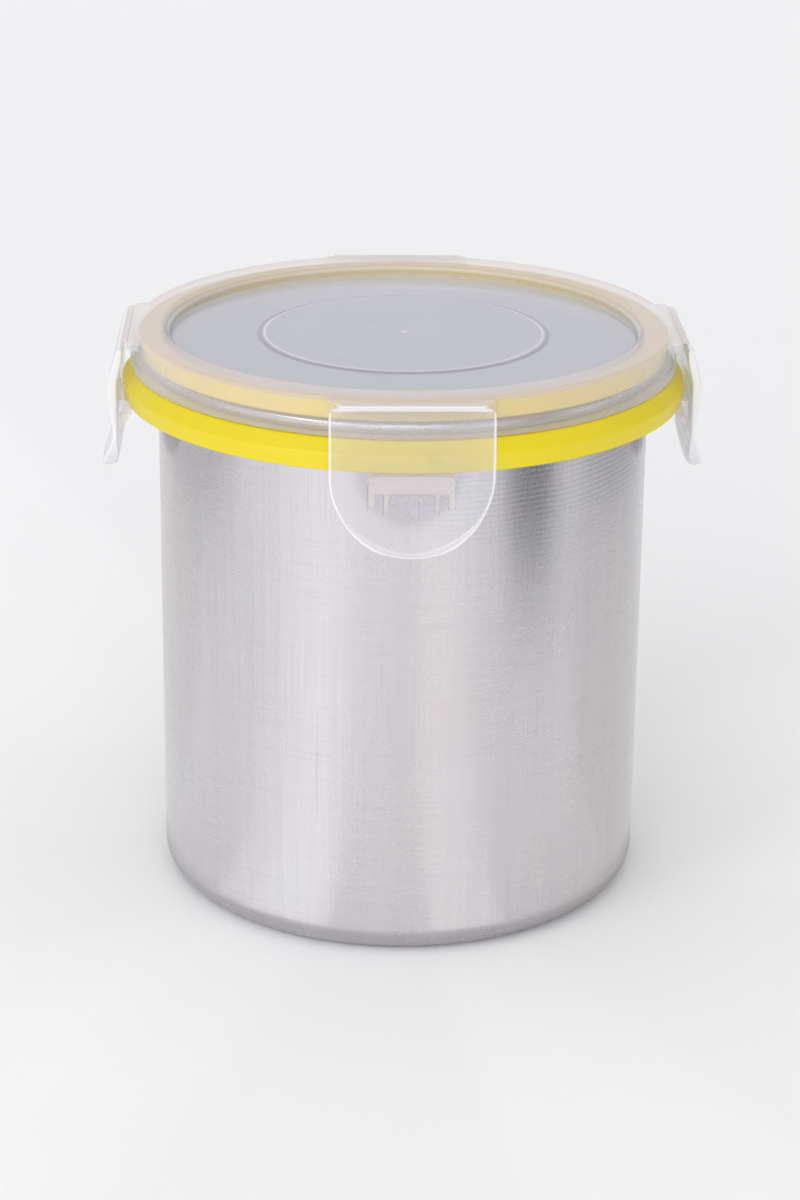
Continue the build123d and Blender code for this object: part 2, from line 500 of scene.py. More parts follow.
class Effects:
    """Surface effects that several finishes share, each a group built once."""

    ring_pitch: float = 5400.0
    ring_side: float = 0.053
    ring_bump: float = 9.0
    panel_top: Point = (0.1262, 0.1268)
    latch_depth: Point = (0.0095, 0.008)
    latch_half: Point = (0.0105, 0.0098)
    tip_levels: Point = (0.106, 0.0985)

    def __init__(self) -> None:
        """Build every group."""
        self.hairlines = self.build_hairlines()
        self.mottle = self.build_mottle()
        self.moulding = self.build_moulding()
        self.dust = self.build_dust()
        self.zones = self.build_zones()

    @staticmethod
    def start(
        name: str, inputs: dict[str, float], outputs: Sequence[str]
    ) -> tuple[bpy.types.NodeTree, NodeSheet, dict[str, Value], bpy.types.Node]:
        """Make an empty group with its sockets.

        Args:
            name: name of the group.
            inputs: name and usual value of each input.
            outputs: name of each output.

        Returns:
            The group, a sheet to add nodes with, its inputs by name and its output node.
        """
        group = bpy.data.node_groups.new(name, "ShaderNodeTree")
        for key, value in inputs.items():
            socket = group.interface.new_socket(key, in_out="INPUT", socket_type="NodeSocketFloat")
            socket.default_value = value
        for key in outputs:
            group.interface.new_socket(key, in_out="OUTPUT", socket_type="NodeSocketFloat")
        sheet = NodeSheet(group)
        entry, out = sheet.add("NodeGroupInput"), sheet.add("NodeGroupOutput")
        return group, sheet, {key: sheet.read(entry, key) for key in inputs}, out

    def build_hairlines(self) -> bpy.types.NodeTree:
        """Crossed hairline scratches and turning rings on a turned body."""
        group, sheet, given, out = self.start(
            "crossed_hairlines",
            {"Along": 2500.0, "Across": 2800.0, "Stretch": 36.0, "Ring height": 0.1},
            ("Height", "Streaks", "Scratches", "Rings"),
        )
        length, height, radius = sheet.wrap()
        along, across, stretch = given["Along"], given["Across"], given["Stretch"]
        upright = sheet.join(length * along, height * stretch, radius * 300.0)
        level = sheet.join(length * (stretch * 2.2), height * across, radius * across)
        lines_up = sheet.noise(upright, 1.0, 1.5, 0.55)
        lines_level = sheet.noise(level, 1.0, 1.5, 0.55)
        broad_up = sheet.noise(upright, 0.16, 2.0, 0.6)
        broad_level = sheet.noise(level, 0.2, 2.0, 0.6)
        drift = sheet.noise(sheet.join(length, height, radius), 45.0).between(0.2, 0.8)
        fine = sheet.add("ShaderNodeMix", data_type="FLOAT")
        fine = sheet.read(sheet.feed(fine, i0=drift, i2=lines_up, i3=lines_level))
        streaks = fine * 0.6 + (broad_up + broad_level * 0.6) * 0.25
        tone = streaks.between(0.3, 0.7, -0.75, 0.75)
        wander = sheet.noise(sheet.join(length, height), 40.0) * 9.0
        turns = sheet.math("SINE", height * self.ring_pitch + wander)
        worn = sheet.noise(sheet.join(length * 45.0, height * 260.0), 1.0)
        aside = abs(length + self.ring_side)
        patch = worn.between(0.25, 0.55, 0.35, 1.0) * aside.between(0.01, 0.055, 1.0, 0.12)
        rings = turns * 0.25 * ((height - given["Ring height"]).between(-0.022, 0.0) * patch)
        on_wall = radius.between(0.012, 0.045)
        deep_up = lines_up.between(0.64, 0.76) * broad_up.between(0.45, 0.65)
        deep_level = lines_level.between(0.66, 0.78) * broad_level.between(0.45, 0.65)
        sheet.feed(
            out,
            Height=(lines_up + lines_level + rings * self.ring_bump) * on_wall,
            Streaks=tone * on_wall + 0.5,
            Scratches=sheet.largest(deep_up, deep_level) * on_wall,
            Rings=rings + 0.5,
        )
        return group

    def build_mottle(self) -> bpy.types.NodeTree:
        """Soft patches that drift over a surface."""
        inputs = {"Scale": 20.0, "Stretch": 1.0, "Seed": 0.0}
        group, sheet, given, out = self.start("soft_patches", inputs, ("Patches", "Fine"))
        _, x, y, z = sheet.place()
        place = sheet.join(x + given["Seed"], y, z * given["Stretch"])
        patches = sheet.noise(place, given["Scale"], 3.0, 0.55) * 1.8 - 0.4
        sheet.feed(out, Patches=patches, Fine=sheet.noise(place, given["Scale"] * 9.0, 4.0, 0.6))
        return group

    def build_moulding(self) -> bpy.types.NodeTree:
        """Faint ripples, grain and flow lines of a moulded plastic."""
        inputs = {"Ripple": 180.0, "Grain": 6000.0, "Flow": 25.0}
        group, sheet, given, out = self.start("moulded_skin", inputs, ("Height",))
        point = sheet.place()[0]
        length, height, radius = sheet.wrap()
        ripple = sheet.noise(point, given["Ripple"], 2.0, 0.4)
        grain = sheet.noise(point, given["Grain"])
        drawn = sheet.join(length * 900.0, height, radius * given["Flow"])
        flow = sheet.noise(drawn, 1.0, 2.0, 0.6)
        sheet.feed(out, Height=ripple + grain * 0.06 + flow * 0.15)
        return group

    def build_dust(self) -> bpy.types.NodeTree:
        """Tiny specks and soft finger smudges from handling."""
        inputs = {"Speck size": 1400.0, "Smudge": 30.0}
        group, sheet, given, out = self.start("handling_marks", inputs, ("Specks", "Smudge"))
        point = sheet.place()[0]
        cells = sheet.add("ShaderNodeTexVoronoi")
        sheet.feed(cells, Vector=point, Scale=given["Speck size"])
        rare = sheet.noise(point, 420.0, 0.0).between(0.76, 0.8)
        specks = sheet.read(cells, "Distance").between(0.22, 0.1) * rare
        sheet.feed(out, Specks=specks, Smudge=sheet.noise(point, given["Smudge"], 1.0))
        return group

    def build_zones(self) -> bpy.types.NodeTree:
        """Masks of the lid's frosted crown, panel and latches, of painted highlight lines on edges
        and of a painted shade band.
        """
        group, sheet, given, out = self.start(
            "frosted_zones",
            {
                "Crown inner": 0.0522,
                "Crown height": 0.1288,
                "Disc edge": 0.0311,
                "Latch top": 0.1146,
                "Latch reach": 0.06325,
                "Flap reach": 0.0609,
                "Flap top": 0.1288,
                "Flap middle": 0.1145,
                "Flap half": 0.0172,
                "Edge width": 0.00045,
            },
            ("Crown", "Panel", "Disc", "Step", "Latch", "Edge"),
        )
        _, x, y, z = sheet.place()
        radius = sheet.wrap()[2]
        past_inner, past_disc = radius - given["Crown inner"], radius - given["Disc edge"]
        crown = past_inner.between(0, 0.0012) * (z - given["Crown height"]).between(0, 0.0008)
        top_side = z.between(*self.panel_top)
        # Painted highlight lines: the disc's top edge, the crown's inner edge and the gate mark in
        # the middle, on upper faces only.
        rims = abs(past_disc).between(0.00045, 0.0001)
        rims = sheet.largest(rims, abs(past_inner - 0.0004).between(0.0005, 0.0001))
        rims = sheet.largest(rims, radius.between(0.0013, 0.0008))
        # Painted shade band on the disc's slope, just outside its top edge.
        slope = abs(past_disc - 0.0011).between(0.0008, 0.0002)
        reach, offset = sheet.largest(abs(x), abs(y)), sheet.smallest(abs(x), abs(y))
        behind = (given["Latch reach"] - reach).between(0, 0.0005)
        below = given["Latch top"] - z
        level = below.between(-0.0002, 0) * below.between(*self.latch_depth)
        drop = sheet.smallest(z - given["Flap middle"], 0.0)
        inside = given["Flap half"] - sheet.length(offset, drop)
        inside = sheet.smallest(inside, given["Flap top"] - z)
        # Painted highlight band just inside each flap's outline, on faces beyond the flap reach;
        # it widens towards the tip.
        width = given["Edge width"] * z.between(*self.tip_levels, 1.0, 1.9)
        band = (width - inside).between(-0.0001, 0.0001) * inside.between(-0.0005, -0.0003)
        # Of these masks, the disc edges and the flaps' edges give painted highlight lines and the
        # disc's slope a painted shade band; the crown, panel and latch masks are the plastic's own
        # frost and haze.
        sheet.feed(
            out,
            Crown=crown,
            Panel=past_inner.between(0.0, -0.0008),
            Disc=rims * top_side,
            Step=slope * top_side,
            Latch=behind * level * offset.between(*self.latch_half),
            Edge=band * (reach - given["Flap reach"]).between(0, 0.0001),
        )
        return group

    @staticmethod
    def place(sheet: NodeSheet, group: bpy.types.NodeTree, **values: float) -> dict[str, Value]:
        """Put a group into a material with its own values, and give its outputs by name."""
        node = sheet.feed(sheet.add("ShaderNodeGroup", node_tree=group), **values)
        return {output.name: Value(sheet, output) for output in node.outputs}


@dataclass(frozen=True)
class Finish:
    """A finish of one material slot."""

    name: str
    slot: str = ""

    def make(self, effects: Effects | None = None) -> bpy.types.Material:
        """Build the material.

        Args:
            effects: the shared surface effects, for a finish that uses them.

        Returns:
            The finished material.
        """
        material = bpy.data.materials.new(self.name)
        material.use_nodes = True
        material.node_tree.nodes.clear()
        sheet = NodeSheet(material.node_tree)
        shader = sheet.add("ShaderNodeBsdfPrincipled")
        out = sheet.add("ShaderNodeOutputMaterial")
        sheet.feed(out, Surface=sheet.read(shader))
        sheet.feed(shader, **self.look(sheet, effects))
        return material

    def look(self, sheet: NodeSheet, effects: Effects | None) -> dict[str, object]:
        """What each socket of the shader gets.

        Args:
            sheet: the material's sheet, to add nodes with.
            effects: the shared surface effects.

        Returns:
            A plain or varying value for each socket, by its name.
        """
        raise NotImplementedError

    @staticmethod
    def bump(sheet: NodeSheet, height: Value, distance: float, strength: float) -> Value:
        """A normal from a height."""
        node = sheet.add("ShaderNodeBump")
        return sheet.read(sheet.feed(node, Height=height, Distance=distance, Strength=strength))


@dataclass(frozen=True)
class BrushedSteel(Finish):
    """Stainless steel with fine crossed scratches, faint stains and a satin gloss."""

    cool: Colour = (0.7, 0.695, 0.735, 1)
    warm: Colour = (0.705, 0.65, 0.66, 1)
    dim: Colour = (0.55, 0.535, 0.565, 1)
    scratch: Colour = (0.4, 0.385, 0.4, 1)
    roughness: float = 0.255
    grain_tone: float = 0.3
    ring_tone: float = 0.6

    def look(self, sheet: NodeSheet, effects: Effects | None) -> dict[str, object]:
        """Steel that is cool and warm in patches, dimmer along its streaks and rings.

        Args:
            sheet: the material's sheet, to add nodes with.
            effects: the shared surface effects.

        Returns:
            A plain or varying value for each socket, by its name.
        """
        lines = effects.place(sheet, effects.hairlines, Ring_height=0.108)
        patches = effects.place(sheet, effects.mottle, Scale=24.0, Stretch=0.6, Seed=0.013)
        marks = effects.place(sheet, effects.dust, Speck_size=1500.0, Smudge=26.0)
        base = sheet.mix(patches["Patches"], self.cool, self.warm)
        for share, colour in (
            ((1.0 - lines["Streaks"]) * self.grain_tone, self.dim),
            (lines["Rings"].between(0.5, 0.7, 0, self.ring_tone), self.dim),
            (lines["Scratches"] * 0.4, self.scratch),
            (marks["Specks"] * 0.3, self.scratch),
        ):
            base = sheet.mix(share, base, colour)
        return {
            "Base_Color": base,
            "Metallic": 1.0,
            "Roughness": marks["Smudge"] * 0.05 + lines["Streaks"] * -0.014 + self.roughness,
            "Normal": self.bump(sheet, lines["Height"], 0.00001, 0.22),
        }


@dataclass(frozen=True)
class CollarPlastic(Finish):
    """Glossy opaque plastic, moulded in one bright colour."""

    colour: Colour = (0.8, 0.66, 0.008, 1)
    deep: Colour = (0.76, 0.58, 0.004, 1)
    speck: Colour = (0.75, 0.7, 0.5, 1)

    def look(self, sheet: NodeSheet, effects: Effects | None) -> dict[str, object]:
        """Bright plastic, slightly deeper in patches.

        Args:
            sheet: the material's sheet, to add nodes with.
            effects: the shared surface effects.

        Returns:
            A plain or varying value for each socket, by its name.
        """
        skin = effects.place(sheet, effects.moulding, Ripple=150.0)
        patches = effects.place(sheet, effects.mottle, Scale=45.0, Seed=2.0)
        marks = effects.place(sheet, effects.dust, Speck_size=1700.0, Smudge=45.0)
        base = sheet.mix(patches["Patches"] * 0.35, self.colour, self.deep)
        return {
            "Base_Color": sheet.mix(marks["Specks"] * 0.4, base, self.speck),
            "Roughness": marks["Smudge"] * 0.12 + 0.24,
            "Subsurface_Weight": 0.12,
            "Subsurface_Radius": YELLOW_REACH,
            "Subsurface_Scale": 0.0012,
            "Normal": self.bump(sheet, skin["Height"], 0.00006, 0.5),
        }


@dataclass(frozen=True)
class ClearPlastic(Finish):
    """See-through moulded plastic, milkier where it is frosted, and whiter and milkier in painted
    highlight lines along its edges, with a painted shade band on the lid's disc slope.
    """

    tint: Colour = (0.86, 0.865, 0.95, 1)
    veil: Colour = (0.84, 0.82, 0.87, 1)
    frosted: Colour = (0.9, 0.81, 0.79, 1)
    # Colour of the painted highlight lines along the edges.
    bright: Colour = (0.93, 0.91, 0.95, 1)
    # Colour of the painted shade band on the disc's slope.
    slope: Colour = (0.3, 0.3, 0.34, 1)
    roughness: float = 0.16
    haze: float = 0.14
    panel: float = 0.14
    edge_haze: float = 0.6
    edge_power: float = 2.2
    frost: float = 0.22
    crown: float = 1.0
    latch: float = 0.0
    # Opacity added along the painted highlight lines.
    edge: float = 0.5
    most: float = 0.96

    def look(self, sheet: NodeSheet, effects: Effects | None) -> dict[str, object]:
        """Plastic that lets most light by, and less at a glancing angle and where it is milky.

        Args:
            sheet: the material's sheet, to add nodes with.
            effects: the shared surface effects.

        Returns:
            A plain or varying value for each socket, by its name.
        """
        skin = effects.place(sheet, effects.moulding, Ripple=120.0)
        patches = effects.place(sheet, effects.mottle, Scale=35.0, Seed=0.03)["Patches"]
        marks = effects.place(sheet, effects.dust, Speck_size=1600.0, Smudge=38.0)
        zones = effects.place(sheet, effects.zones)
        crown, latch = zones["Crown"] * self.crown, zones["Latch"] * self.latch
        # Painted highlight lines: the flaps' edges, and on the lid the disc and crown edges and
        # the gate mark.
        edge = sheet.largest(zones["Edge"], zones["Disc"] * (0.5 * self.crown))
        base = sheet.mix(patches * 0.5, self.tint, self.veil)
        base = sheet.mix(sheet.largest(crown, latch), base, self.frosted)
        # Painted shade band on the disc's slope.
        base = sheet.mix(zones["Step"] * (0.5 * self.crown), base, self.slope)
        facing = sheet.feed(sheet.add("ShaderNodeLayerWeight"), Blend=0.5)
        rise = sheet.math("POWER", sheet.read(facing, "Facing"), self.edge_power)
        alpha = rise * (self.edge_haze - self.haze) + self.haze
        for share, amount in (
            (crown + latch, self.frost),
            (edge, self.edge),
            (zones["Panel"] * self.crown, self.panel),
            (patches, 0.05),
            (marks["Smudge"], 0.03),
            (marks["Specks"], 0.15),
        ):
            alpha = alpha + share * amount
        return {
            # Painted highlight colour along the edge lines.
            "Base_Color": sheet.mix(edge, base, self.bright),
            "Roughness": marks["Smudge"] * 0.06 + self.roughness + marks["Specks"] * 0.3,
            "IOR": 1.47,
            "Alpha": sheet.smallest(alpha, self.most),
            "Normal": self.bump(sheet, skin["Height"], 0.00005, 0.4),
        }


@dataclass(frozen=True)
class SoftSilicone(Finish):
    """Soft satin silicone."""

    colour: Colour = (0.88, 0.67, 0.012, 1)
    deep: Colour = (0.85, 0.6, 0.03, 1)

    def look(self, sheet: NodeSheet, effects: Effects | None) -> dict[str, object]:
        """Satin silicone, slightly deeper in patches.

        Args:
            sheet: the material's sheet, to add nodes with.
            effects: the shared surface effects.

        Returns:
            A plain or varying value for each socket, by its name.
        """
        skin = effects.place(sheet, effects.moulding, Ripple=260.0, Grain=9000.0)
        patches = effects.place(sheet, effects.mottle, Scale=60.0, Seed=4.0)
        return {
            "Base_Color": sheet.mix(patches["Patches"] * 0.4, self.colour, self.deep),
            "Roughness": patches["Fine"] * 0.15 + 0.4,
            "Subsurface_Weight": 0.2,
            "Subsurface_Radius": YELLOW_REACH,
            "Subsurface_Scale": 0.002,
            "Normal": self.bump(sheet, skin["Height"], 0.00008, 0.6),
        }


@dataclass(frozen=True)
class StagePaper(Finish):
    """Plain paper of the studio."""

    shade: Colour = (0.86, 0.86, 0.862, 1)

    def look(self, sheet: NodeSheet, effects: Effects | None) -> dict[str, object]:
        """Dull paper of one shade."""
        return {"Base_Color": self.shade, "Roughness": 0.9}


@dataclass(frozen=True)
class GlowingPaper(Finish):
    """Paper that gives light and mirrors none."""

    strength: float = 1.0

    def look(self, sheet: NodeSheet, effects: Effects | None) -> dict[str, object]:
        """White light of one strength."""
        black, white = (0, 0, 0, 1), (1, 1, 1, 1)
        return {
            "Base_Color": black,
            "Emission_Color": white,
            "Emission_Strength": self.strength,
        }


class Shop:
    """All finishes of the object, each made once."""

    def __init__(self) -> None:
        """Make the finishes."""
        effects = Effects()
        finishes = [
            BrushedSteel("scratch_brushed_steel", "brushed_steel"),
            CollarPlastic("yellow_collar_plastic", "yellow_plastic"),
            ClearPlastic("milky_lid_plastic", "clear_lid_plastic"),
            ClearPlastic(
                "clear_flap_plastic",
                "clear_flap_plastic",
                tint=(0.67, 0.66, 0.72, 1),
                veil=(0.66, 0.64, 0.7, 1),
                roughness=0.1,
                haze=0.125,
                edge_haze=0.72,
                edge_power=1.3,
                crown=0.0,
                latch=1.0,
                edge=0.45,
            ),
            SoftSilicone("yellow_silicone", "yellow_silicone"),
        ]
        self.made = {finish.slot: finish.make(effects) for finish in finishes}

    def dress(self, piece: bpy.types.Object, slot: str) -> None:
        """Give a piece the finish of a slot."""
        piece.data.materials.clear()
        piece.data.materials.append(self.made[slot])


@dataclass
class SteelBody:
    """The deep-drawn steel cup with its recessed base and rolled rim."""

    sizes: Sizes
    foot_corner: float = 6.0
    foot_band: float = 3.5
    foot_step: float = 3.0
    base_recess: float = 1.5

    def outline(self) -> list[Point]:
        """Closed section of the sheet, from the middle of the base and back."""
        s = self.sizes
        inner = s.wall_radius - s.sheet
        foot_outer = s.wall_radius - self.foot_corner
        foot_inner = foot_outer - self.foot_band
        recess = foot_inner - self.foot_step
        curl = (inner + s.curl_radius, s.rim_top - s.curl_radius)
        under = rounded(
            [
                (0, self.base_recess),
                (recess, self.base_recess),
                (foot_inner, 0),
                (foot_outer - 1, 0),
            ],
            [0, 1, 1, 0],
            closed=False,
        )
        outside = arc((foot_outer, self.foot_corner), self.foot_corner, -90, 0, 20)
        roll = arc(curl, s.curl_radius - s.sheet, 180, -90, 30)
        over = arc(curl, s.curl_radius, -90, 180, 36)
        inside = arc((foot_outer, self.foot_corner), self.foot_corner - s.sheet, 0, -90, 20)
        floor = rounded(
            [
                (foot_outer - 1, s.sheet),
                (foot_inner + 0.1, s.sheet),
                (recess + 0.1, self.base_recess + s.sheet),
                (0, self.base_recess + s.sheet),
            ],
            [0, 1, 1, 0],
            closed=False,
        )
        return under + outside + roll + over + inside + floor

    def build(self, shop: Shop) -> None:
        """Turn the cup and dress it.

        Args:
            shop: the finishes.
        """
        cup = Workshop.lathe("steel_cup", self.outline())
        shop.dress(cup, "brushed_steel")
        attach(cup, "canister")
        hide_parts("steel_body")


@dataclass
class Collar:
    """The plastic ring under the rolled rim, open below."""

    sizes: Sizes
    wall: float = 1.4
    shoulder: float = 2.9
    shoulder_run: float = 2.3
    draft: float = 0.4

    def outline(self) -> list[Point]:
        """Closed section of the ring."""
        s = self.sizes
        outer, low, top = s.collar_outer, s.collar_bottom, s.collar_top
        shoulder = top - self.shoulder
        crest = outer - self.shoulder_run
        return rounded(
            [
                (s.wall_radius, low),
                (s.wall_radius, top),
                (crest, top),
                (outer, shoulder),
                (outer - self.draft, low),
                (outer - self.wall - self.draft, low),
                (outer - self.wall, shoulder - 0.5),
                (crest - 0.6, top - self.wall),
                (s.wall_radius + self.wall, top - self.wall),
                (s.wall_radius + self.wall, low),
            ],
            [0, 0, 0.8, 0.7, 0.3, 0.3, 0.4, 0.4, 0.4, 0.3],
        )

    def build(self, shop: Shop) -> None:
        """Turn the ring and dress it.

        Args:
            shop: the finishes.
        """
        ring = Workshop.lathe("collar", self.outline())
        shop.dress(ring, "yellow_plastic")
        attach(ring, "canister")
        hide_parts("collar_ring")


@dataclass
class Lid:
    """The lid's moulding with its four ears, and the gasket in its channel."""

    sizes: Sizes
    lip_step: float = 0.6
    lip_height: float = 2.3
    crown_round: float = 1.3
    plug_drop: float = 6.6
    panel_drop: float = 2.9
    panel_inset: float = 1.2
    disc_radius: float = 30.9
    disc_rise: float = 0.4
    disc_slope: float = 1.7
    gate_radius: float = 0.9
    gate_depth: float = 0.25
    ear_drop: float = 0.6
    ear_wall: float = 1.8
    hinge_cut: float = 0.8
    gasket_inset: float = 0.02
    gasket_round: float = 0.5

    def outline(self) -> list[Point]:
        """Closed section of the lid, from the middle of its top and back."""
        s = self.sizes
        plug_inner = s.plug_outer - s.lid_wall
        panel = s.crown_top - self.panel_drop
        disc = panel + self.disc_rise
        lip, lip_inner = s.skirt_outer + self.lip_step, s.skirt_inner + self.lip_step
        lip_top = s.lid_bottom + self.lip_height
        step_top = lip_top + self.lip_step / 2
        plug_low = s.channel_top - self.plug_drop
        corners = [
            ((0, disc - self.gate_depth), 0),
            ((self.gate_radius, disc - self.gate_depth), 0.1),
            ((self.gate_radius, disc), 0.1),
            ((self.disc_radius, disc), 0.6),
            ((self.disc_radius + self.disc_slope, panel), 0.6),
            ((plug_inner - self.panel_inset, panel), 0.8),
            ((s.plug_outer - 0.1, s.crown_top), 1.0),
            ((s.skirt_outer, s.crown_top), self.crown_round),
            ((s.skirt_outer, step_top), 0.2),
            ((lip, lip_top), 0.2),
            ((lip, s.lid_bottom), 0.3),
            ((lip_inner, s.lid_bottom), 0.3),
            ((lip_inner, lip_top), 0.2),
            ((s.skirt_inner, step_top), 0.2),
            ((s.skirt_inner, s.channel_top), 0.4),
            ((s.plug_outer, s.channel_top), 0.4),
            ((s.plug_outer, plug_low), 0.4),
            ((plug_inner, plug_low), 0.4),
            ((plug_inner, panel - s.lid_wall), 0.6),
            ((0, panel - s.lid_wall), 0),
        ]
        places, radii = zip(*corners)
        return rounded(places, radii)

    def ear(self, side: Side) -> bpy.types.Object:
        """The straight-edged ear on one side.

        Args:
            side: which side it is on.

        Returns:
            The closed body of the ear.
        """
        s = self.sizes
        root = s.skirt_inner + s.lid_wall / 2
        reach, half = s.hinge_radius - self.hinge_cut, s.flap_width / 2
        spread = math.degrees(math.asin(half / root))
        inner = arc((0, 0), root, spread, -spread, 16)
        front = rounded(
            [inner[-1], (reach, -half), (reach, half), inner[0]], [0, 2.0, 2.0, 0], 8, closed=False
        )
        top = s.crown_top - self.ear_drop
        body = Workshop.prism(inner[1:-1] + front, top - self.ear_wall, top, True, 0.2)
        bmesh.ops.transform(body, matrix=side.turn, verts=body.verts)
        return Workshop.finish(f"ear_{side.label}", body)

    def gasket_outline(self) -> list[Point]:
        """Closed section of the gasket, just inside its channel."""
        s = self.sizes
        inner, outer = s.plug_outer + self.gasket_inset, s.skirt_inner - self.gasket_inset
        low, high = s.gasket_bottom, s.channel_top - self.gasket_inset
        places = [(inner, low), (outer, low), (outer, high), (inner, high)]
        return rounded(places, [self.gasket_round] * 4)

    def build(self, shop: Shop) -> None:
        """Build the lid and the gasket and dress them.

        Args:
            shop: the finishes.
        """
        moulding = Workshop.lathe("lid_moulding", self.outline())
        Workshop.weld(moulding, [self.ear(side) for side in Side])
        shop.dress(moulding, "clear_lid_plastic")
        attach(moulding, "lid_assembly")
        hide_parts("lid")
        seal = Workshop.lathe("seal_ring", self.gasket_outline())
        shop.dress(seal, "yellow_silicone")
        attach(seal, "lid_assembly")
        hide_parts("gasket")


@dataclass
class Flap:
    """One locking flap: its D-shaped plate with the hook, and the thin hinge."""

    sizes: Sizes
    side: Side
    top_wall: float = 0.95
    top_round: float = 1.6
    bulge: float = 2.1
    waist: float = 0.8
    lip: float = 4.35
    edge_round: float = 0.55
    hook_width: float = 15.6
    hook_depth: float = 2.85
    hook_height: float = 4.2
    cheek_wall: float = 1.2
    cheek_height: float = 7.6
    gusset_wall: float = 0.9
    gusset_height: float = 4.9
    gusset_offset: float = 5.3
    hinge_inner: float = 0.3
    hinge_outer: float = 0.65
    hinge_cut: float = 0.8
    hinge_width: float = 30.0
    arc_steps: int = 40
    edge_steps: int = 6
    inner_rings: int = 22

    def skins(self) -> tuple[list[Point], list[Point]]:
        """Outer and inner line of the plate seen from its end, top to tip."""
        s = self.sizes
        outer = rounded(
            [
                (s.hinge_radius + 0.2 + self.top_wall, s.flap_top + 1),
                (s.hinge_radius + 0.2 + self.top_wall, s.flap_top),
                (s.flap_back + self.bulge, s.collar_top - 1.5),
                (s.flap_back + self.waist, s.ledge_height - 6.5),
                (s.flap_back + self.lip, s.flap_tip + 1.7),
                (s.flap_back + self.lip - 1.0, s.flap_tip - 0.3),
            ],
            [0, 3, 8, 10, 0.9, 0],
            10,
            closed=False,
        )
        inner = rounded(
            [
                (s.hinge_radius + 0.2, s.flap_top + 1),
                (s.hinge_radius + 0.3, s.collar_top + 4.2),
                (s.flap_back, s.collar_top - 0.8),
                (s.flap_back, s.flap_tip + 5.2),
                (s.flap_back + 0.8, s.flap_tip + 1.4),
                (s.flap_back + 1.7, s.flap_tip - 0.3),
            ],
            [0, 3, 4, 4, 1.2, 0],
            10,
            closed=False,
        )
        return outer, inner

    @staticmethod
    def across(line: Sequence[Point], height: float) -> float:
        """Distance of a line from the axis at a height."""
        for (high_x, high_z), (low_x, low_z) in zip(line, line[1:]):
            if high_z >= height >= low_z and high_z > low_z:
                share = (high_z - height) / (high_z - low_z)
                return high_x + (low_x - high_x) * share
        return line[-1][0] if height < line[-1][1] else line[0][0]

    def ring(self, inset: float) -> list[Point]:
        """The plate's outline drawn in by an inset, as sideways place and height.

        Args:
            inset: how far inside the real outline it runs.

        Returns:
            The points of the outline, all the way round.
        """
        s = self.sizes
        half, top = s.flap_width / 2 - inset, s.flap_top - inset
        middle = s.flap_tip + s.flap_width / 2
        turn = max(self.top_round - inset, 0.25)
        outline = []
        for step in range(2 * self.arc_steps + 1):
            angle = math.pi * (1 + step / (2 * self.arc_steps))
            reach = half + inset - inset * self.fullness(middle + half * math.sin(angle))
            outline.append((reach * math.cos(angle), middle + reach * math.sin(angle)))
        outline += [(half, middle + (top - turn - middle) * k / 12) for k in range(1, 12)]
        outline += arc((half - turn, top - turn), turn, 0, 90, 8)
        outline += [(half - turn - 2 * (half - turn) * k / 24, top) for k in range(1, 24)]
        outline += arc((turn - half, top - turn), turn, 90, 180, 8)
        outline += [(-half, top - turn - (top - turn - middle) * k / 12) for k in range(1, 12)]
        return outline

    def fullness(self, height: float) -> float:
        """How much fuller the edge's round is at a height than on the straight sides."""
        share = (self.sizes.flap_tip + 6.0 - height) / 5.0
        return 1 + 1.3 * min(max(share, 0.0), 1.0)

    def plate(self) -> bmesh.types.BMesh:
        """The D-shaped plate with rounded edges, on the right side."""
        s = self.sizes
        outer, inner = self.skins()
        steps = self.edge_steps
        angles = [math.pi / 2 * k / steps for k in range(steps + 1)]
        insets = [self.edge_round * (1 - math.cos(angle)) for angle in angles]
        edge = self.ring(insets[-1])
        middle = Vector((0.0, s.flap_tip + s.flap_width / 2 - 1.0))
        body = bmesh.new()
        layers: list[list[list[bmesh.types.BMVert]]] = []
        for line, sign in ((outer, -1.0), (inner, 1.0)):
            rows = []
            for inset in insets:
                row = []
                for y, z in self.ring(inset):
                    wall = self.across(outer, z) - self.across(inner, z)
                    turn = min(self.edge_round * self.fullness(z), wall / 2)
                    depth = max(turn - inset * turn / self.edge_round, 0.0)
                    drop = turn - math.sqrt(max(turn * turn - depth * depth, 0.0))
                    row.append(body.verts.new((self.across(line, z) + sign * drop, y, z)))
                rows.append(row)
            for k in range(1, self.inner_rings):
                share = 1 - k / self.inner_rings
                row = []
                for y, z in edge:
                    place = middle + (Vector((y, z)) - middle) * share
                    row.append(body.verts.new((self.across(line, place.y), place.x, place.y)))
                rows.append(row)
            rows.append([body.verts.new((self.across(line, middle.y), middle.x, middle.y))])
            layers.append(rows)
        count = len(edge)
        for rows in layers:
            for near, far in zip(rows, rows[1:]):
                for step in range(count):
                    after = (step + 1) % count
                    loop = [near[step], near[after], far[after % len(far)], far[step % len(far)]]
                    body.faces.new(dict.fromkeys(loop))
        rims = layers[0][0], layers[1][0]
        for step in range(count):
            after = (step + 1) % count
            body.faces.new((rims[0][step], rims[0][after], rims[1][after], rims[1][step]))
        return body

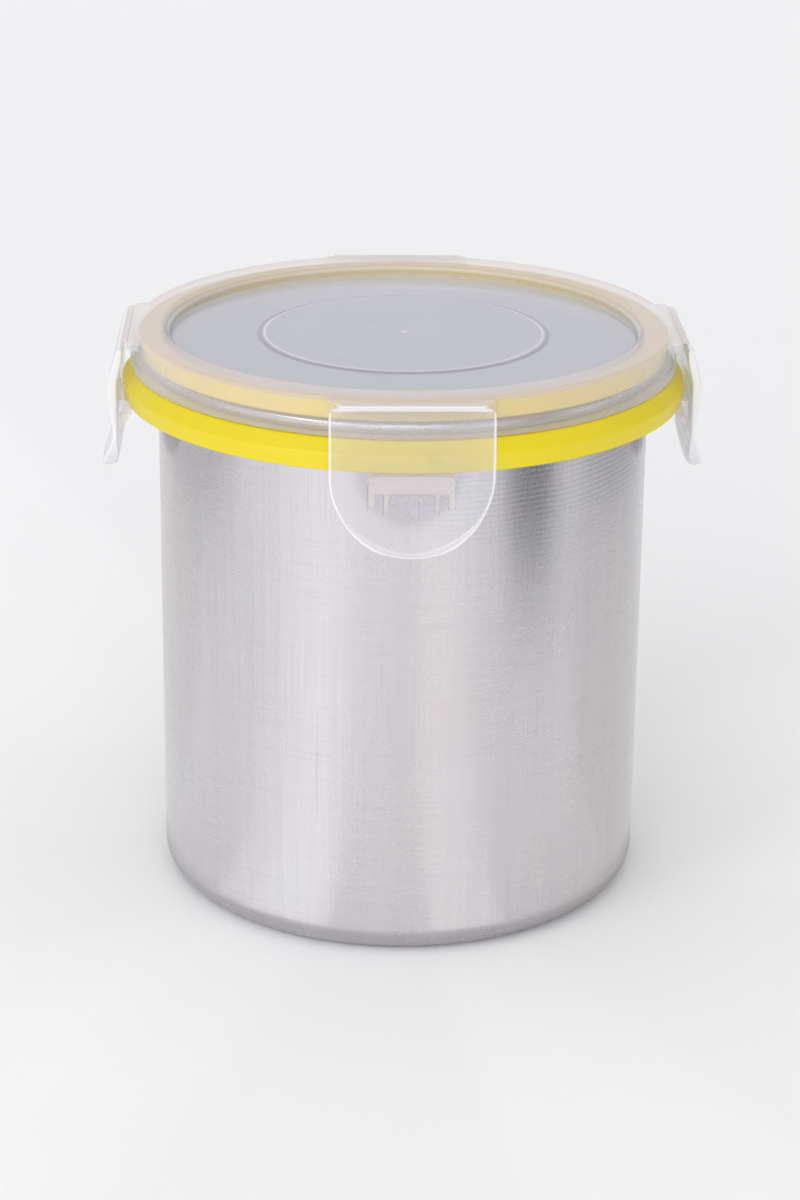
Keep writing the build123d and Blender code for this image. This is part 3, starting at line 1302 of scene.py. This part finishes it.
    def hook(self) -> list[bmesh.types.BMesh]:
        """The ledge, its two cheeks and its two gussets, on the right side."""
        s = self.sizes
        back, top = s.flap_back + 0.3, s.ledge_height
        tip = s.flap_back - self.hook_depth
        half_depth = s.flap_back - 0.5 * self.hook_depth
        low = top - self.hook_height
        ledge = [(back, top), (tip, top), (tip + 0.1, top - 0.45 * self.hook_height)]
        ledge += [(half_depth, low), (back, low)]
        cheek = [(back, top - 0.2), (tip + 0.3, top - 0.2)]
        cheek += [(tip + 0.2, top - 0.4 * self.cheek_height)]
        cheek += [(s.flap_back, top - self.cheek_height), (back, top - self.cheek_height)]
        gusset = [(back, low + 0.5), (half_depth, low + 0.5)]
        gusset += [(s.flap_back, low - self.gusset_height), (back, low - self.gusset_height)]
        half = self.hook_width / 2
        bodies = [Workshop.prism(ledge, -half, half, False, 0.22)]
        for sign in (-1, 1):
            ends = sorted((sign * (half - 0.1), sign * (half + self.cheek_wall)))
            bodies.append(Workshop.prism(cheek, *ends, False, 0.2))
            place = sign * self.gusset_offset
            wall = self.gusset_wall / 2
            bodies.append(Workshop.prism(gusset, place - wall, place + wall, False, 0.15))
        return bodies

    def hinge(self) -> bmesh.types.BMesh:
        """The thin strip from the ear over the hinge line to the plate, on the right side."""
        s = self.sizes
        root, line = s.hinge_radius - self.hinge_cut, (s.hinge_radius, s.hinge_height)
        middle = (self.hinge_inner + self.hinge_outer) / 2
        wall = self.hinge_outer - self.hinge_inner
        path = [(root + (line[0] - root) * k / 5, line[1] + middle) for k in range(5)]
        path += arc(line, middle, 90, 0, 12)
        path.append((line[0] + middle, s.flap_top - 0.1))
        inner, outer = [], []
        for index, place in enumerate(path):
            before, after = path[max(index - 1, 0)], path[min(index + 1, len(path) - 1)]
            along = (Vector(after) - Vector(before)).normalized()
            across = Vector((-along.y, along.x)) * wall / 2
            outer.append(tuple(Vector(place) + across))
            inner.append(tuple(Vector(place) - across))
        half = self.hinge_width / 2
        return Workshop.prism(outer + inner[::-1], -half, half, False)

    def build(self, shop: Shop) -> None:
        """Build the flap with its hook and its hinge, and dress them.

        Args:
            shop: the finishes.
        """
        s, label, turn = self.sizes, self.side.label, self.side.turn
        plate = self.plate()
        bmesh.ops.transform(plate, matrix=turn, verts=plate.verts)
        flap = Workshop.finish(f"locking_flap_{label}", plate)
        extras = []
        for index, body in enumerate(self.hook()):
            bmesh.ops.transform(body, matrix=turn, verts=body.verts)
            extras.append(Workshop.finish(f"hook_{label}_{index}", body))
        Workshop.weld(flap, extras)
        flap.visible_shadow = False
        shop.dress(flap, "clear_flap_plastic")
        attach(flap, f"flap_{label}_body")
        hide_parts(f"flap_{label}", f"latch_hook_{label}")
        strip = self.hinge()
        bmesh.ops.transform(strip, matrix=turn, verts=strip.verts)
        web = Workshop.finish(f"living_hinge_{label}", strip)
        shop.dress(web, "clear_lid_plastic")
        above = s.hinge_height + self.hinge_outer
        start = turn @ Vector((s.hinge_radius - self.hinge_cut, 0, above))
        end = turn @ Vector((s.hinge_radius + self.hinge_outer, 0, s.flap_top))
        tuple(start * MM)
        tuple(end * MM)
        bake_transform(web)
        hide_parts(f"hinge_web_{label}")


@dataclass(frozen=True)
class Card:
    """A plain card that stands beside the canister; sizes in millimetres.

    Its bearing is 0 to the front and 90 to the right, and its shade goes from 0 to 1.
    """

    name: str
    bearing: float
    away: float
    width: float
    height: float
    shade: float


@dataclass(frozen=True)
class Strip:
    """A bright strip on the floor, with its bearing, its far end's width and its strength."""

    bearing: float
    width: float
    strength: float


@dataclass(frozen=True)
class FootRing:
    """A painted contact shadow: a dimmer ring on the floor round the canister's base, seen only in
    the steel; sizes in millimetres.
    """

    inner: float
    outer: float
    shade: float
    level: float


@dataclass
class Studio:
    """Floor, lights and camera."""

    lens: float = 90.94
    roll: float = 0.619
    eye: tuple[float, float, float] = (-0.02135, -0.65574, 0.31088)
    gaze: tuple[float, float, float] = (0.0302, 0.93518, -0.35287)
    floor_reach: float = 9000.0
    floor_bend: float = 2200.0
    floor_curve: float = 800.0
    wall_end: Point = (3000.0, 2600.0)
    air: Colour = (0.97, 0.975, 1.0, 1)
    air_levels: Point = (0.8, 0.56)
    lamp_target: tuple[float, float, float] = (0, 0, 0.07)
    card_lift: float = 1.0
    ring_depth: float = 0.1
    strip_ends: Point = (57, 620)
    cards: tuple[Card, ...] = (
        Card("dark_card", 55, 300, 120, 300, 0.09),
        Card("grey_card", 112, 340, 360, 320, 0.4),
        Card("left_card", -105, 320, 300, 300, 0.66),
    )
    strips: tuple[Strip, ...] = (
        Strip(-130, 716, 0.76),
        Strip(106, 716, 0.7),
        Strip(18, 230, 0.9),
        Strip(-40, 420, 0.91),
        Strip(-36, 220, 0.99),
    )
    # Painted contact shadow rings round the base, seen only in the steel's bottom corner.
    rings: tuple[FootRing, ...] = (FootRing(47, 62, 0.84, 1.6), FootRing(46, 58, 0.72, 2.0))

    def floor(self) -> bpy.types.Object:
        """Lay a large sheet of pale paper that curves up far behind.

        Returns:
            The sheet of paper.
        """
        body = bmesh.new()
        bend = arc((0, self.floor_curve), self.floor_curve, -90, 0, 16)
        path = [(-self.floor_reach, 0.0)] + [(self.floor_bend + x, z) for x, z in bend]
        path.append(self.wall_end)
        sides = (-self.floor_reach, self.floor_reach)
        rows = [[body.verts.new((x, y, z)) for y, z in path] for x in sides]
        for step in range(len(path) - 1):
            body.faces.new((rows[0][step], rows[1][step], rows[1][step + 1], rows[0][step + 1]))
        paper = Workshop.finish("paper_floor", body)
        paper.data.materials.append(StagePaper("pale_paper").make())
        return paper

    @staticmethod
    def mirrored(piece: bpy.types.Object, paper: Finish, bearing: float = 0.0) -> None:
        """Turn a stage piece to its bearing and leave it to be seen in the steel alone.

        Args:
            piece: the piece, built in front of the canister.
            paper: its finish.
            bearing: direction from the canister in degrees, 0 to the front and 90 to the right.
        """
        piece.data.transform(Matrix.Rotation(math.radians(bearing), 4, "Z"))
        piece.data.materials.append(paper.make())
        for ray in ("camera", "shadow", "diffuse", "transmission"):
            setattr(piece, f"visible_{ray}", False)

    def card(self, plan: Card) -> None:
        """Stand a plain card beside the canister for the steel to mirror."""
        half, low, high = plan.width / 2, self.card_lift, plan.height + self.card_lift
        corners = [(-half, low), (half, low), (half, high), (-half, high)]
        body = bmesh.new()
        body.faces.new([body.verts.new((x, -plan.away, z)) for x, z in corners])
        board = Workshop.finish(plan.name, body)
        paper = StagePaper(f"{plan.name}_paper", shade=(plan.shade, plan.shade, plan.shade, 1))
        self.mirrored(board, paper, plan.bearing)

    def glow(self, plan: Strip) -> None:
        """Lay a bright strip on the floor for the steel to mirror as a lighter column.

        It lies as many millimetres up as it is strong, so the brighter of two is on top.

        Args:
            plan: its bearing, width and strength.
        """
        near, far = self.strip_ends
        wide = plan.width / 2
        slim = wide * near / far
        corners = [(-slim, -near), (slim, -near), (wide, -far), (-wide, -far)]
        body = bmesh.new()
        body.faces.new([body.verts.new((x, y, plan.strength)) for x, y in corners])
        strip = Workshop.finish("bright_strip", body)
        paper = GlowingPaper("bright_strip_paper", strength=plan.strength)
        self.mirrored(strip, paper, plan.bearing)

    def foot(self, plan: FootRing) -> None:
        """Lay a dimmer ring on the floor round the canister's base for the steel's corner to
        mirror, a painted contact shadow.
        """
        low, high = plan.level, plan.level + self.ring_depth
        outline = [(plan.inner, low), (plan.outer, low), (plan.outer, high), (plan.inner, high)]
        ring = Workshop.lathe("foot_ring", outline, 96)
        paper = StagePaper("foot_ring_paper", shade=(plan.shade, plan.shade, plan.shade, 1))
        self.mirrored(ring, paper)

    def lamp(self) -> None:
        """Add the soft lamp at the upper left, which faces the canister."""
        light = bpy.data.lights.new("key_left", "AREA")
        light.shape = "RECTANGLE"
        light.size = light.size_y = 0.5
        light.energy = 2.6
        light.color = (1, 0.99, 0.98)
        lamp = bpy.data.objects.new("key_left", light)
        bpy.context.scene.collection.objects.link(lamp)
        lamp.location = (-0.9, -0.8, 0.9)
        gap = Vector(self.lamp_target) - lamp.location
        lamp.rotation_euler = gap.to_track_quat("-Z", "Y").to_euler()

    @staticmethod
    def sun(
        place: Sequence[float], power: float, spread: float, only: bpy.types.Object | None = None
    ) -> None:
        """Add a far, soft lamp.

        Args:
            place: direction it comes from.
            power: its strength.
            spread: its size in the sky, in degrees.
            only: the one object it lights, or None for all of them.
        """
        light = bpy.data.lights.new("far_lamp", "SUN")
        light.energy = power
        light.angle = math.radians(spread)
        lamp = bpy.data.objects.new("far_lamp", light)
        bpy.context.scene.collection.objects.link(lamp)
        if only:
            lit = bpy.data.collections.new("lit_by_far_lamp")
            lit.objects.link(only)
            lamp.light_linking.receiver_collection = lit
        lamp.location = place
        lamp.rotation_euler = (-Vector(place)).to_track_quat("-Z", "Y").to_euler()

    def sky(self) -> None:
        """Set the pale air, slightly dimmer overhead."""
        world = bpy.data.worlds.new("studio_air")
        world.use_nodes = True
        sheet = NodeSheet(world.node_tree)
        point = sheet.read(sheet.add("ShaderNodeTexCoord"), "Generated")
        height = sheet.read(sheet.feed(sheet.add("ShaderNodeSeparateXYZ"), Vector=point), 2)
        strength = height.between(0.1, 0.9, *self.air_levels)
        sheet.feed(world.node_tree.nodes["Background"], Color=self.air, Strength=strength)
        bpy.context.scene.world = world

    def camera(self) -> None:
        """Place the camera at its three-quarter view from above the front."""
        forward = Vector(self.gaze).normalized()
        right = forward.cross(Vector((0, 0, 1))).normalized()
        up = right.cross(forward)
        tilt = math.radians(self.roll)
        turned = right * math.cos(tilt) + up * math.sin(tilt)
        raised = turned.cross(forward)
        data = bpy.data.cameras.new("studio_camera")
        data.lens = self.lens
        data.clip_start = 0.01
        camera = bpy.data.objects.new("studio_camera", data)
        frame = Matrix((turned, raised, -forward)).transposed().to_4x4()
        camera.matrix_world = Matrix.Translation(self.eye) @ frame
        bpy.context.scene.collection.objects.link(camera)
        bpy.context.scene.camera = camera

    def build(self) -> None:
        """Set up the whole studio."""
        paper = self.floor()
        self.sky()
        self.sun((-0.14, -1.0, 0.45), 1.02, 50)
        self.sun((0.0, -0.1, 1.0), 0.6, 70, paper)
        self.lamp()
        for card in self.cards:
            self.card(card)
        for strip in self.strips:
            self.glow(strip)
        # Painted contact shadows round the base, seen only in the steel.
        for ring in self.rings:
            self.foot(ring)
        bpy.context.scene.view_settings.view_transform = "Standard"
        self.camera()


def main() -> None:
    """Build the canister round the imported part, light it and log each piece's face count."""
    logging.basicConfig(level=logging.INFO, format="%(message)s")
    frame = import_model()
    sizes = Sizes.from_part(frame["record"])
    shop = Shop()
    assemblies = [SteelBody(sizes), Collar(sizes), Lid(sizes)]
    assemblies += [Flap(sizes, side) for side in Side]
    for assembly in assemblies:
        known = set(bpy.data.objects)
        assembly.build(shop)
        for piece in sorted(set(bpy.data.objects) - known, key=lambda found: found.name):
            if piece.type == "MESH":
                LOG.info("%s: %d faces", piece.name, len(piece.data.polygons))
    Studio().build()


if __name__ == "__main__":
    main()
